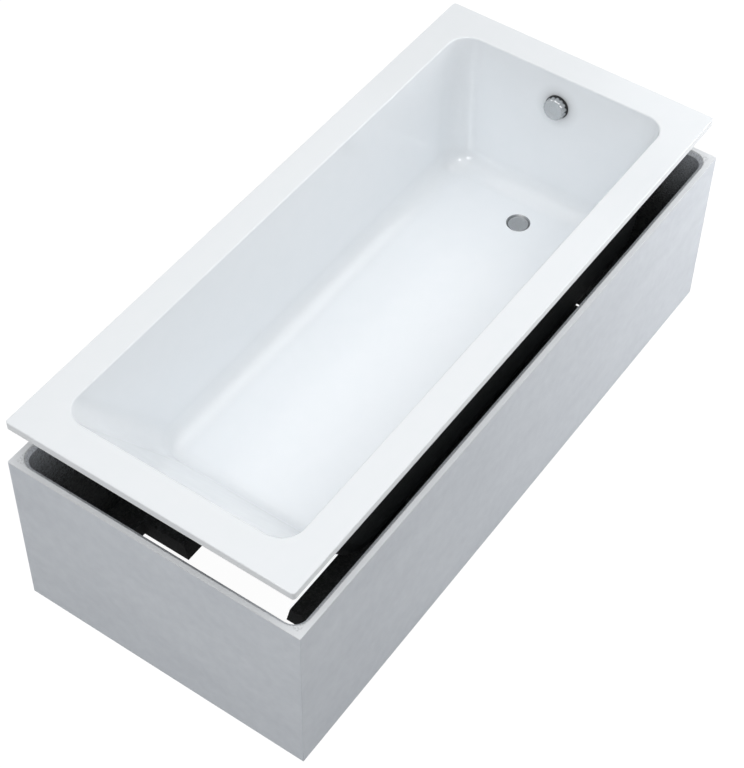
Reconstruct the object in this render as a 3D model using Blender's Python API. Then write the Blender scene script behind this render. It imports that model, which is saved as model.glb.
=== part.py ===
"""A rectangular acrylic bath, raised on setting blocks in its tile-ready foam carrier.

Lengths are in metres and +Z is up. The carrier is centred on the origin and stands on z = 0.
The foot end, with the overflow and the waste, is at +X, and the head end is at -X.
"""

from math import acos, asin, cos, pi, radians, sin, tan

import bmesh
import bpy
from mathutils import Matrix, Vector, geometry

# Clearances that every piece shares
seat_gap = 0.0003
cut_overrun = 0.010
weld_distance = 0.000001

# Carrier walls
carrier_overhang = 0.0125
carrier_height = 0.480
carrier_wall = 0.022
wall_top_flat = 0.012
wall_top_drop = 0.010
carrier_inner_radius = 0.032
carrier_outer_radius = 0.002

# Carrier floor
floor_board_height = 0.050
floor_side_slope = 0.011
foot_slab_length = 0.1925
slot_length = 0.048
head_opening_length = 0.2525
head_opening_width_share = 0.7524
centre_opening_length = 0.239
centre_opening_width_share = 0.3912
shoulder_width_share = 0.4460
waste_opening_width = 0.200
waste_opening_head_reach = 0.164
waste_opening_foot_reach = 0.116

# Setting blocks under the bath
setting_block_length = 0.150
setting_block_side_inset = 0.0033
setting_block_head_inset = 0.110
setting_block_foot_inset = 0.150
setting_block_edge = 0.006

# Bath rim
bath_length = 1.700
bath_width = 0.750
bath_set_x = -0.004
bath_set_y = 0.006
rim_raise = 0.111
rim_skirt = 0.020
rim_edge_radius = 0.0025
rim_corner_radius = 0.008
rim_side = 0.075
rim_head = 0.083
rim_foot = 0.083

# Basin
acrylic_sheet = 0.005
basin_depth = 0.377
rim_roll = 0.004
least_roll = 0.0005
side_lean = radians(3.5)
foot_lean = radians(7)
head_lean = radians(35.2)
side_cove = 0.053
foot_cove = 0.060
head_cove = 0.055
opening_radius = 0.060
basin_corner_radius = 0.072
corner_steps = 8

# Backing, base board and rim battens
backing_start_depth = 0.035
backing_thickness = 0.003
backing_gap = 0.0005
backing_hole_gap = 0.0008
base_board_thickness = 0.016
base_board_head_inset = 0.030
base_board_waste_reach = 0.104
base_board_side_inset = 0.020
base_board_edge = 0.003
batten_thickness = 0.012
batten_width = 0.045
batten_skirt_gap = 0.003
batten_end_gap = 0.004
batten_edge = 0.002

# Overflow on the foot wall
overflow_drop = 0.088
overflow_hole_radius = 0.026
rosette_radius = 0.0315
rosette_thickness = 0.0045
rosette_tube_wall = 0.004
rosette_tube_length = 0.030
cross_width = 0.003
cross_height = 0.004
cross_depth = 0.006
cross_hub_radius = 0.007
knob_radius = 0.0290
knob_lobe = 0.0018
knob_lobes = 14
knob_lobe_steps = 6
knob_flare = 0.0010
knob_stand_off = 0.0054
knob_height = 0.0156
knob_edge = 0.0030
knob_wall = 0.003
knob_hub_radius = 0.0078
spindle_radius = 0.004
spindle_bite = 0.0101
crank_radius = 0.012
crank_thickness = 0.003
crank_depth = 0.032
overflow_gasket_radius = 0.036
overflow_gasket_thickness = 0.004
overflow_flange_thickness = 0.004
overflow_barrel_radius = 0.030
overflow_barrel_depth = 0.050
overflow_barrel_back = 0.004
overflow_spigot_depth = 0.0315
overflow_spigot_reach = 0.052

# Overflow hose and cable
hose_radius = 0.0175
hose_rib_depth = 0.0022
hose_bore = 0.0125
hose_rib_pitch = 0.008
hose_foot_gap = 0.0375
hose_turn_height = 0.300
hose_turn_pull = 0.060
hose_top_pull = 0.100
hose_end_straight = 0.036
hose_bend_pull = 0.050
hose_nut_radius = 0.0225
hose_nut_length = 0.022
cable_radius = 0.003
cable_gland_radius = 0.006
cable_gland_reach = 0.045
cable_exit_turn = radians(50)
cable_swing = 0.075
cable_turn_height = 0.230
cable_end_straight = 0.025
cable_points = 36

# Waste in the floor
waste_from_foot = 0.242
waste_hole_radius = 0.0285
waste_flange_radius = 0.0308
waste_flange_thickness = 0.002
waste_flange_edge = 0.0004
waste_seat_radius = 0.0273
waste_seat_drop = 0.0038
waste_seat_depth = 0.0085
waste_seat_slope = 0.0012
waste_bore_radius = 0.0215
waste_tube_radius = 0.0282
waste_tube_length = 0.028
guide_depth = 0.020
guide_hub_radius = 0.007
plug_gap = 0.0005
plug_edge_gap = 0.0011
plug_sink = 0.003
plug_thickness = 0.003
plug_seal_thickness = 0.0018
plug_seal_inset = 0.001
stem_radius = 0.0035
waste_gasket_radius = 0.040
waste_gasket_thickness = 0.003
body_flange_thickness = 0.004
body_bore_radius = 0.0286
body_radius = 0.032
body_floor_depth = 0.0615
body_floor_thickness = 0.004
inlet_depth = 0.040
inlet_reach = 0.066
dip_radius = 0.023
dip_bore_radius = 0.020
dip_depth = 0.095

# Lift lever in the waste body
lever_reach = 0.019
lever_swing = radians(14)
lever_pivot_depth = 0.053
lever_tip_radius = 0.003
lever_hub_radius = 0.006
lever_width = 0.014
lever_arm_height = 0.0045
lever_horn_height = 0.010
lever_pin_radius = 0.002
lever_pin_half_length = 0.0262

# Trap under the waste body
cup_radius = 0.048
cup_wall = 0.003
cup_depth = 0.1165
ring_nut_wall = 0.0045
ring_nut_top_depth = 0.059
ring_nut_bottom_depth = 0.0745
ring_nut_lip = 0.002
outlet_depth = 0.0945
outlet_radius = 0.0185
outlet_bore_radius = 0.016
outlet_reach = 0.075
outlet_seal_thickness = 0.003
outlet_nut_radius = 0.024
outlet_nut_length = 0.024
elbow_straight = 0.020
elbow_bend = 0.030
elbow_leg = 0.030
elbow_bend_steps = 8

# Worked out from the sizes above
rim_top = carrier_height + rim_raise + rim_skirt
basin_floor = rim_top - basin_depth
bath_head = bath_set_x - bath_length / 2
bath_foot = bath_set_x + bath_length / 2
waste_x = bath_foot - waste_from_foot
shell_underside = basin_floor - acrylic_sheet
backing_underside = shell_underside - backing_gap - backing_thickness
board_top = backing_underside - seat_gap
board_underside = board_top - base_board_thickness
carrier_length = bath_length + 2 * carrier_overhang
carrier_width = bath_width + 2 * carrier_overhang
cavity_x = carrier_length / 2 - carrier_wall
cavity_y = carrier_width / 2 - carrier_wall
head_opening_half = cavity_y * head_opening_width_share
centre_opening_half = cavity_y * centre_opening_width_share
shoulder_half = cavity_y * shoulder_width_share
slab_x = cavity_x - seat_gap
slab_y = cavity_y - seat_gap
slab_corner_radius = carrier_inner_radius
side_slab_foot = cavity_x - foot_slab_length - slot_length
side_slab_head = head_opening_length - cavity_x
centre_board_head = side_slab_head + centre_opening_length
waste_opening_head = waste_x - waste_opening_head_reach
waste_opening_foot = waste_x + waste_opening_foot_reach
hose_bores = (hose_radius, hose_bore, 24)
gland_bores = (cable_gland_radius, cable_radius, 16)


def linear(value):
    """One sRGB channel from 0 to 255, as linear light."""
    share = value / 255
    if share <= 0.04045:
        return share / 12.92
    return ((share + 0.055) / 1.055) ** 2.4


def finish(name, rgb, roughness, metallic=0):
    """The material of that name, made once."""
    material = bpy.data.materials.get(name)
    if material is None:
        material = bpy.data.materials.new(name)
        material.use_nodes = True
        shader = material.node_tree.nodes["Principled BSDF"]
        shader.inputs["Base Color"].default_value = [linear(channel) for channel in rgb] + [1]
        shader.inputs["Roughness"].default_value = roughness
        shader.inputs["Metallic"].default_value = metallic
    return material


def white_acrylic():
    return finish("white_acrylic", (240, 243, 246), 0.12)


def coated_foam():
    return finish("mineral_coated_foam", (200, 203, 205), 0.9)


def graphite_foam():
    return finish("graphite_foam", (30, 31, 32), 0.9)


def dark_laminate():
    return finish("glass_fibre_laminate", (46, 48, 50), 0.6)


def board_wood():
    return finish("chipboard", (120, 96, 66), 0.8)


def satin_metal():
    return finish("satin_metal", (172, 176, 180), 0.25, 1)


def black_plastic():
    return finish("black_plastic", (28, 28, 30), 0.4)


def white_plastic():
    return finish("white_plastic", (214, 214, 210), 0.4)


def grey_plastic():
    return finish("grey_plastic", (120, 122, 124), 0.5)


def black_rubber():
    return finish("black_rubber", (20, 20, 20), 0.7)


def remove_all():
    for item in list(bpy.data.objects):
        bpy.data.objects.remove(item, do_unlink=True)


def to_object(name, form, material=None, sharp=radians(35)):
    """Makes a bmesh into an object, shaded smooth between its sharp edges."""
    bmesh.ops.recalc_face_normals(form, faces=form.faces)
    mesh = bpy.data.meshes.new(name)
    form.to_mesh(mesh)
    form.free()
    mesh.shade_smooth()
    mesh.set_sharp_from_angle(angle=sharp)
    if material is not None:
        mesh.materials.append(material)
    item = bpy.data.objects.new(name, mesh)
    bpy.context.scene.collection.objects.link(item)
    return item


def hide_tool(item):
    item.hide_render = True
    item.display_type = "WIRE"
    return item


def combine(target, tool, operation):
    """A Boolean of the target with a tool object, which is then left out of the model."""
    step = target.modifiers.new(f"{operation.lower()}_{tool.name}", "BOOLEAN")
    step.operation = operation
    step.solver = "EXACT"
    step.object = hide_tool(tool)
    return target


def cut(target, tool):
    return combine(target, tool, "DIFFERENCE")


def join(target, tool):
    return combine(target, tool, "UNION")


def axis_empty(name, location, rotation=(0, 0, 0)):
    item = bpy.data.objects.new(name, None)
    item.location = location
    item.rotation_euler = rotation
    bpy.context.scene.collection.objects.link(item)
    return item


def place(item, parent, location=(0, 0, 0), rotation=(0, 0, 0)):
    """Stands an object in the frame of its parent."""
    item.parent = parent
    item.location = location
    item.rotation_euler = rotation
    return item


def rounded_rectangle(x0, x1, y0, y1, radius, height, steps=corner_steps):
    """Points of a level rectangle with round corners, counter-clockwise from its +X side."""
    corners = ((x1, y1, 0), (x0, y1, 1), (x0, y0, 2), (x1, y0, 3))
    points = []
    for x, y, quarter in corners:
        centre_x = x - radius if x == x1 else x + radius
        centre_y = y - radius if y == y1 else y + radius
        for step in range(steps + 1):
            angle = (quarter + step / steps) * pi / 2
            points.append(Vector((centre_x + radius * cos(angle), centre_y + radius * sin(angle), height)))
    return points


def skin(form, loops, ring=False, first_cap=False, last_cap=False):
    """Joins loops of equally many points with quads, and closes the first and the last."""
    rows = [[form.verts.new(point) for point in loop] for loop in loops]
    pairs = list(zip(rows, rows[1:]))
    if ring:
        pairs.append((rows[-1], rows[0]))
    for low, high in pairs:
        for index, corner in enumerate(low):
            following = (index + 1) % len(low)
            form.faces.new((corner, low[following], high[following], high[index]))
    if first_cap:
        form.faces.new(list(reversed(rows[0])))
    if last_cap:
        form.faces.new(rows[-1])


def turned(name, profile, material=None, steps=32):
    """Turns a closed outline of (radius, height) points about Z."""
    form = bmesh.new()
    corners = [form.verts.new((radius, 0, height)) for radius, height in profile]
    for index, corner in enumerate(corners):
        following = corners[(index + 1) % len(corners)]
        if corner.co.x > 0 or following.co.x > 0:
            form.edges.new((corner, following))
    bmesh.ops.spin(
        form,
        geom=list(form.verts) + list(form.edges),
        cent=(0, 0, 0),
        axis=(0, 0, 1),
        angle=2 * pi,
        steps=steps,
        use_merge=True,
    )
    bmesh.ops.remove_doubles(form, verts=form.verts, dist=weld_distance)
    return to_object(name, form, material)


def ring(name, inner, outer, low, high, material=None, steps=32):
    return turned(name, [(inner, low), (outer, low), (outer, high), (inner, high)], material, steps)


def rod(name, radius, start, end, material=None, steps=24):
    """A plain round bar from one point to another."""
    start, end = Vector(start), Vector(end)
    form = bmesh.new()
    turn = (end - start).to_track_quat("Z", "Y").to_matrix().to_4x4()
    bmesh.ops.create_cone(
        form,
        cap_ends=True,
        segments=steps,
        radius1=radius,
        radius2=radius,
        depth=(end - start).length,
        matrix=Matrix.Translation((start + end) / 2) @ turn,
    )
    return to_object(name, form, material)


def block(name, low, high, material=None, edge=0):
    """A box between two corners, its edges bevelled where edge is given."""
    low, high = Vector(low), Vector(high)
    form = bmesh.new()
    size = Matrix.Diagonal((*(high - low), 1))
    bmesh.ops.create_cube(form, size=1, matrix=Matrix.Translation((low + high) / 2) @ size)
    if edge:
        bmesh.ops.bevel(form, geom=form.edges, offset=edge, segments=1, affect="EDGES")
    return to_object(name, form, material, sharp=radians(20))


def slab(name, lower, upper, height, material):
    """A board on z = 0 whose sides run from a lower to an upper outline of (x, y) points."""
    form = bmesh.new()
    loops = [[Vector((x, y, level)) for x, y in outline] for outline, level in ((lower, 0), (upper, height))]
    skin(form, loops, first_cap=True, last_cap=True)
    return to_object(name, form, material, sharp=radians(20))


def swept(name, points, radii, material=None, resolution=2):
    """A round tube along the points, as a mesh with filled ends."""
    data = bpy.data.curves.new(name, "CURVE")
    data.dimensions = "3D"
    data.bevel_depth = max(radii)
    data.bevel_resolution = resolution
    data.use_fill_caps = True
    line = data.splines.new("POLY")
    line.points.add(len(points) - 1)
    for point, place_at, radius in zip(line.points, points, radii):
        point.co = (*place_at, 1)
        point.radius = radius / data.bevel_depth
    guide = bpy.data.objects.new(f"guide_{name}", data)
    bpy.context.scene.collection.objects.link(guide)
    view = bpy.context.evaluated_depsgraph_get()
    mesh = bpy.data.meshes.new_from_object(guide.evaluated_get(view))
    bpy.data.objects.remove(guide, do_unlink=True)
    form = bmesh.new()
    form.from_mesh(mesh)
    bpy.data.meshes.remove(mesh)
    bmesh.ops.remove_doubles(form, verts=form.verts, dist=weld_distance)
    return to_object(name, form, material, sharp=radians(50))


def evenly_spaced(points, count):
    """The same line, as points at equal distances along it."""
    lengths = [0]
    for near, far in zip(points, points[1:]):
        lengths.append(lengths[-1] + (far - near).length)
    spaced = []
    index = 0
    for step in range(count):
        goal = lengths[-1] * step / (count - 1)
        while index < len(points) - 2 and lengths[index + 1] < goal:
            index += 1
        share = (goal - lengths[index]) / (lengths[index + 1] - lengths[index])
        spaced.append(points[index].lerp(points[index + 1], share))
    return spaced


def wall_inset(depth, lean, cove, spread):
    """How far a basin wall stands in from the edge of the opening, at a depth below the rim.

    The wall rolls over the rim, leans in, and runs into the floor in a cove. spread moves the
    surface outward by that distance, and the depth is then measured from the moved rim. A
    surface moved past the centre of the roll keeps the least roll, and its wall stays in line.
    """
    roll = max(rim_roll - spread, least_roll)
    shift = (rim_roll - spread - roll) * (1 - sin(lean)) / cos(lean)
    cove = cove + spread
    roll_end = roll * (1 - sin(lean))
    cove_start = basin_depth - cove * (1 - sin(lean))
    if depth <= roll_end:
        return shift + roll * sin(acos(max(1 - depth / roll, 0)))
    run = shift + roll * cos(lean) + (min(depth, cove_start) - roll_end) * tan(lean)
    if depth <= cove_start:
        return run
    sink = (depth - basin_depth + cove) / cove
    return run + cove * (cos(lean) - cos(asin(min(sink, 1))))


def basin_depths(spread, first=0):
    """Depths below the rim at which the basin has a loop."""
    roll = max(rim_roll - spread, least_roll)
    cove = foot_cove + spread
    depths = [roll * (1 - cos(radians(angle))) for angle in (0, 30, 57, 85)]
    head_start = basin_depth - (head_cove + spread) * (1 - sin(head_lean))
    depths += [basin_depth / 3, head_start]
    for angle in (5, 22, 38, 54, 68, 80, 90):
        depths.append(basin_depth - cove * (1 - sin(radians(angle))))
    kept = [depth for depth in sorted(depths) if depth > first]
    return [first] + kept


def basin_loop(depth, spread, steps=corner_steps):
    """One level loop of the basin's surface, moved outward by spread."""
    head = wall_inset(depth, head_lean, head_cove, spread)
    foot = wall_inset(depth, foot_lean, foot_cove, spread)
    side = wall_inset(depth, side_lean, side_cove, spread)
    cove_start = basin_depth - (side_cove + spread) * (1 - sin(side_lean))
    cove_inset = wall_inset(cove_start, side_lean, side_cove, spread)
    wall_share = min(max(depth / cove_start, 0), 1)
    roll_inset = min(side, rim_roll - spread)
    top_radius = opening_radius - roll_inset
    foot_radius = basin_corner_radius + spread
    radius = top_radius + (foot_radius - top_radius) * wall_share
    if depth > cove_start:
        radius = foot_radius - (side - cove_inset)
    half_width = bath_width / 2 - rim_side - side
    return rounded_rectangle(
        bath_head + rim_head + head,
        bath_foot - rim_foot - foot,
        bath_set_y - half_width,
        bath_set_y + half_width,
        radius,
        rim_top - spread - depth,
        steps,
    )


def rim_loop(inset, height):
    """One level loop of the outer edge of the rim."""
    return rounded_rectangle(
        bath_head + inset,
        bath_foot - inset,
        bath_set_y - bath_width / 2 + inset,
        bath_set_y + bath_width / 2 - inset,
        rim_corner_radius - inset,
        height,
    )


def waste_tool(name, radius, high, low):
    return rod(name, radius, (waste_x, bath_set_y, high), (waste_x, bath_set_y, low), steps=48)


def overflow_tool(name, radius, overflow):
    """A cutter along the overflow's axis, through the foot wall."""
    reach = acrylic_sheet + backing_thickness + cut_overrun
    tool = rod(name, radius, (0, 0, -reach), (0, 0, cut_overrun), steps=48)
    return place(tool, overflow)


def make_tub_shell(overflow):
    """The formed sheet: skirt, flat rim and basin, with the seat of the waste and the overflow hole."""
    skirt_bottom = rim_top - rim_skirt
    outside = [rim_loop(0, skirt_bottom)]
    for angle in (0, 45, 90):
        turn = radians(angle)
        inset = rim_edge_radius * (1 - cos(turn))
        outside.append(rim_loop(inset, rim_top - rim_edge_radius * (1 - sin(turn))))
    outside += [basin_loop(depth, 0) for depth in basin_depths(0)]
    inside = [rim_loop(acrylic_sheet, skirt_bottom), rim_loop(acrylic_sheet, rim_top - acrylic_sheet)]
    inside += [basin_loop(depth, acrylic_sheet) for depth in basin_depths(acrylic_sheet)]
    form = bmesh.new()
    skin(form, list(reversed(outside)) + inside, first_cap=True, last_cap=True)
    shell = to_object("tub_shell", form, white_acrylic())
    seat = waste_flange_thickness + seat_gap
    recess = waste_flange_radius + seat_gap
    cut(shell, waste_tool("tool_waste_seat", recess, basin_floor + cut_overrun, basin_floor - seat))
    cut(shell, waste_tool("tool_waste_hole", waste_hole_radius, basin_floor + cut_overrun, board_underside))
    cut(shell, overflow_tool("tool_overflow_hole", overflow_hole_radius, overflow))
    return shell


def make_backing(overflow):
    """The glass-fibre layer under the basin, a parallel surface to the sheet's underside."""
    near = acrylic_sheet + backing_gap
    far = near + backing_thickness
    inner = [basin_loop(depth, near) for depth in basin_depths(near, backing_start_depth)]
    outer = [basin_loop(depth, far) for depth in basin_depths(far, backing_start_depth)]
    form = bmesh.new()
    skin(form, list(reversed(inner)) + outer, first_cap=True, last_cap=True)
    backing = to_object("glass_fibre_backing", form, dark_laminate())
    hole = waste_hole_radius + backing_hole_gap
    cut(backing, waste_tool("tool_backing_waste", hole, basin_floor + cut_overrun, board_underside))
    cut(backing, overflow_tool("tool_backing_overflow", overflow_hole_radius + backing_hole_gap, overflow))
    return backing


def make_base_board():
    """The board glued under the floor, short of the waste."""
    floor_inset = wall_inset(basin_depth, side_lean, side_cove, 0)
    head_inset = wall_inset(basin_depth, head_lean, head_cove, 0)
    half = bath_width / 2 - rim_side - floor_inset - base_board_side_inset
    head = bath_head + rim_head + head_inset + base_board_head_inset
    foot = waste_x - base_board_waste_reach
    low = (head, bath_set_y - half, board_underside)
    high = (foot, bath_set_y + half, board_top)
    block("base_board", low, high, board_wood(), base_board_edge)
    return head, foot, half


def make_rim_battens():
    """Four battens glued under the rim, inside the skirt."""
    top = rim_top - acrylic_sheet - seat_gap
    bottom = top - batten_thickness
    far = acrylic_sheet + batten_skirt_gap
    side_far = bath_width / 2 - far
    side_near = side_far - batten_width
    for name, near, outer in (("left", side_near, side_far), ("right", -side_far, -side_near)):
        low = (bath_head + far, bath_set_y + near, bottom)
        high = (bath_foot - far, bath_set_y + outer, top)
        block(f"rim_batten_{name}", low, high, board_wood(), batten_edge)
    half = side_near - batten_end_gap
    for name, near, outer in (
        ("head", bath_head + far, bath_head + far + batten_width),
        ("foot", bath_foot - far - batten_width, bath_foot - far),
    ):
        low = (near, bath_set_y - half, bottom)
        high = (outer, bath_set_y + half, top)
        block(f"rim_batten_{name}", low, high, board_wood(), batten_edge)


def make_carrier_walls():
    """The ring of four walls, flat and then chamfered along the top inside."""
    out_x, out_y = carrier_length / 2, carrier_width / 2
    flat_radius = carrier_inner_radius + carrier_wall - wall_top_flat
    levels = (
        (0, carrier_outer_radius, 0),
        (0, carrier_outer_radius, carrier_height),
        (wall_top_flat, flat_radius, carrier_height),
        (carrier_wall, carrier_inner_radius, carrier_height - wall_top_drop),
        (carrier_wall, carrier_inner_radius, 0),
    )
    form = bmesh.new()
    loops = [
        rounded_rectangle(inset - out_x, out_x - inset, inset - out_y, out_y - inset, radius, height)
        for inset, radius, height in levels
    ]
    skin(form, loops, ring=True)
    return to_object("carrier_walls", form, coated_foam(), sharp=radians(20))


def corner_arc(x, y, steps=4):
    """Points that round a slab's outer corner, to lie in the corner of the walls."""
    centre_x = x - slab_corner_radius if x > 0 else x + slab_corner_radius
    centre_y = y - slab_corner_radius if y > 0 else y + slab_corner_radius
    start = {(True, True): 0, (False, True): 1, (False, False): 2, (True, False): 3}[(x > 0, y > 0)]
    arc = []
    for step in range(steps + 1):
        angle = (start + step / steps) * pi / 2
        arc.append((centre_x + slab_corner_radius * cos(angle), centre_y + slab_corner_radius * sin(angle)))
    return arc


def side_slab_outline(side, slope):
    """The outline of a side slab, its inner side moved out by slope. side is 1 at +Y and -1 at -Y."""
    inner = bath_set_y + side * (centre_opening_half + slope)
    leg = bath_set_y + side * head_opening_half
    wall = side * slab_y
    corner = corner_arc(-slab_x, wall)
    if side < 0:
        corner = list(reversed(corner))
    return [(side_slab_foot, wall)] + corner + [
        (-slab_x, leg),
        (side_slab_head, leg),
        (side_slab_head, inner),
        (side_slab_foot, inner),
    ]


def centre_board_outline(slope):
    """The outline of the board between the side slabs, with its shoulders and the waste notch."""
    body = centre_opening_half + slope - seat_gap
    notch = waste_opening_width / 2
    shoulder_head = side_slab_foot + seat_gap
    foot = side_slab_foot + slot_length
    half = [
        (centre_board_head, body),
        (shoulder_head, body),
        (shoulder_head, shoulder_half),
        (foot, shoulder_half),
        (foot, notch),
        (waste_opening_head, notch),
    ]
    upper = [(x, bath_set_y + y) for x, y in half]
    lower = [(x, bath_set_y - y) for x, y in reversed(half)]
    return upper + lower


def foot_slab_outline():
    """The outline of the slab along the foot wall, with its part of the waste notch."""
    head = side_slab_foot + slot_length + seat_gap
    notch = waste_opening_width / 2
    return [(head, -slab_y)] + corner_arc(slab_x, -slab_y) + corner_arc(slab_x, slab_y) + [
        (head, slab_y),
        (head, bath_set_y + notch),
        (waste_opening_foot, bath_set_y + notch),
        (waste_opening_foot, bath_set_y - notch),
        (head, bath_set_y - notch),
    ]


def make_carrier_floor(board_head, board_foot, board_half):
    """Foam slabs between the walls, and the two blocks that hold the bath up."""
    for name, side in (("left", 1), ("right", -1)):
        lower = side_slab_outline(side, 0)
        upper = side_slab_outline(side, floor_side_slope)
        slab(f"floor_slab_{name}", lower, upper, floor_board_height, graphite_foam())
    centre = (centre_board_outline(0), centre_board_outline(floor_side_slope))
    slab("floor_centre_board", *centre, floor_board_height, graphite_foam())
    slab("floor_foot_slab", foot_slab_outline(), foot_slab_outline(), floor_board_height, graphite_foam())
    low = floor_board_height + seat_gap
    high = board_underside - seat_gap
    half = board_half - setting_block_side_inset
    head_start = board_head + setting_block_head_inset
    foot_start = board_foot - setting_block_foot_inset - setting_block_length
    for name, start in (("head", head_start), ("foot", foot_start)):
        block(
            f"setting_block_{name}",
            (start, bath_set_y - half, low),
            (start + setting_block_length, bath_set_y + half, high),
            graphite_foam(),
            setting_block_edge,
        )


def add_guide_cross(target, label, parent, bore, depth, hole):
    """Two crossed bars with a hub across a bore, whose hole guides a stem."""
    reach = bore + seat_gap
    half = cross_width / 2
    low, high = -depth - cross_height, -depth
    for name, corner in (("x", (reach, half)), ("y", (half, reach))):
        bar = block(f"tool_{label}_bar_{name}", (-corner[0], -corner[1], low), (*corner, high))
        join(target, place(bar, parent))
    hub = rod(f"tool_{label}_hub", guide_hub_radius, (0, 0, low), (0, 0, high))
    join(target, place(hub, parent))
    through = rod(f"tool_{label}_guide", hole, (0, 0, low - cut_overrun), (0, 0, cut_overrun))
    cut(target, place(through, parent))


def make_overflow(overflow):
    """The fittings on and behind the foot wall. Their heights run along the overflow's axis."""
    shell_back = -acrylic_sheet - backing_gap - backing_thickness
    tube = overflow_hole_radius - plug_gap
    bore = tube - rosette_tube_wall
    high = seat_gap + rosette_thickness
    outline = [
        (rosette_radius, seat_gap),
        (rosette_radius, high),
        (bore, high),
        (bore, -rosette_tube_length),
        (tube, -rosette_tube_length),
        (tube, seat_gap),
    ]
    rosette = place(turned("overflow_rosette", outline, black_plastic(), 40), overflow)
    add_guide_cross(rosette, "rosette", overflow, bore, cross_depth, spindle_radius + seat_gap)

    gasket_high = shell_back - seat_gap
    gasket_low = gasket_high - overflow_gasket_thickness
    gasket = ring("overflow_gasket", overflow_hole_radius, overflow_gasket_radius, gasket_low, gasket_high)
    gasket.data.materials.append(black_rubber())
    place(gasket, overflow)

    flange_high = gasket_low - seat_gap
    flange_low = flange_high - overflow_flange_thickness
    outline = [
        (0, flange_high),
        (overflow_gasket_radius, flange_high),
        (overflow_gasket_radius, flange_low),
        (overflow_barrel_radius, flange_low),
        (overflow_barrel_radius, -overflow_barrel_depth),
        (0, -overflow_barrel_depth),
    ]
    body = place(turned("overflow_body", outline, black_plastic()), overflow)
    back = overflow_barrel_back - overflow_barrel_depth
    chamber = rod("tool_overflow_chamber", tube + seat_gap, (0, 0, cut_overrun), (0, 0, back), steps=32)
    base = (0, 0, -overflow_spigot_depth)
    sideways = (-cos(cable_exit_turn), sin(cable_exit_turn), 0)
    spigot = branch("overflow_spigot", overflow, (-1, 0, 0), base, overflow_spigot_reach, *hose_bores)
    gland = branch("overflow_gland", overflow, sideways, base, cable_gland_reach, *gland_bores)
    hollow(body, (spigot, gland), place(chamber, overflow))
    make_knob(overflow)


def branch(label, parent, direction, base, reach, outer, inner, steps):
    """The solid and the bore of a tube that leaves a body's chamber sideways."""
    direction, base = Vector(direction), Vector(base)
    solid = rod(f"tool_{label}", outer, base, base + direction * reach, steps=steps)
    bore = rod(f"tool_{label}_bore", inner, base, base + direction * (reach + cut_overrun), steps=steps)
    return place(solid, parent), place(bore, parent)


def hollow(body, branches, chamber):
    """Joins branches to a solid body, then opens its chamber and their bores."""
    for solid, bore in branches:
        join(body, solid)
    cut(body, chamber)
    for solid, bore in branches:
        cut(body, bore)


def lobed_circle(radius, height):
    """A circle with shallow lobes for the fingers."""
    count = knob_lobes * knob_lobe_steps
    points = []
    for step in range(count):
        angle = 2 * pi * step / count
        dip = knob_lobe * (1 - cos(knob_lobes * angle)) / 2
        points.append(Vector(((radius - dip) * cos(angle), (radius - dip) * sin(angle), height)))
    return points


def make_knob(overflow):
    """The turning knob, a lobed cup that stands off the wall, and its spindle with the crank."""
    low = knob_stand_off
    high = low + knob_height
    form = bmesh.new()
    loops = [
        lobed_circle(knob_radius + knob_flare, low),
        lobed_circle(knob_radius, high - knob_edge),
        lobed_circle(knob_radius - knob_edge, high),
    ]
    skin(form, loops, first_cap=True, last_cap=True)
    knob = place(to_object("overflow_knob", form, satin_metal()), overflow)
    inside = knob_radius - knob_lobe - knob_wall
    cup = ring("tool_knob_hollow", knob_hub_radius, inside, low - cut_overrun, high - knob_wall)
    cut(knob, place(cup, overflow))
    hole_end = high - knob_height + spindle_bite + seat_gap
    hole = rod("tool_knob_hole", spindle_radius + seat_gap, (0, 0, low - cut_overrun), (0, 0, hole_end))
    cut(knob, place(hole, overflow))
    top = low + spindle_bite
    outline = [
        (0, -crank_depth - crank_thickness),
        (crank_radius, -crank_depth - crank_thickness),
        (crank_radius, -crank_depth),
        (spindle_radius, -crank_depth),
        (spindle_radius, top),
        (0, top),
    ]
    place(turned("knob_spindle", outline, satin_metal(), 24), overflow)


def make_waste(waste):
    """The fittings in the floor. Their heights are measured from the basin's floor."""
    ring_low = -waste_flange_thickness
    outline = [
        (waste_flange_radius, ring_low),
        (waste_flange_radius, -waste_flange_edge),
        (waste_flange_radius - waste_flange_edge, 0),
        (waste_seat_radius, -waste_seat_drop),
        (waste_seat_radius, -waste_seat_depth),
        (waste_bore_radius, -waste_seat_depth - waste_seat_slope),
        (waste_bore_radius, -waste_tube_length),
        (waste_tube_radius, -waste_tube_length),
        (waste_tube_radius, ring_low),
    ]
    flange = place(turned("drain_flange", outline, satin_metal(), 48), waste)
    add_guide_cross(flange, "drain", waste, waste_bore_radius, guide_depth, stem_radius + seat_gap)

    high = backing_underside - basin_floor - seat_gap
    low = high - waste_gasket_thickness
    gasket = ring("drain_gasket", waste_hole_radius, waste_gasket_radius, low, high, black_rubber())
    place(gasket, waste)
    make_waste_body(waste, low - seat_gap)
    make_plug(waste)
    make_lever(waste)
    make_trap(waste)


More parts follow.
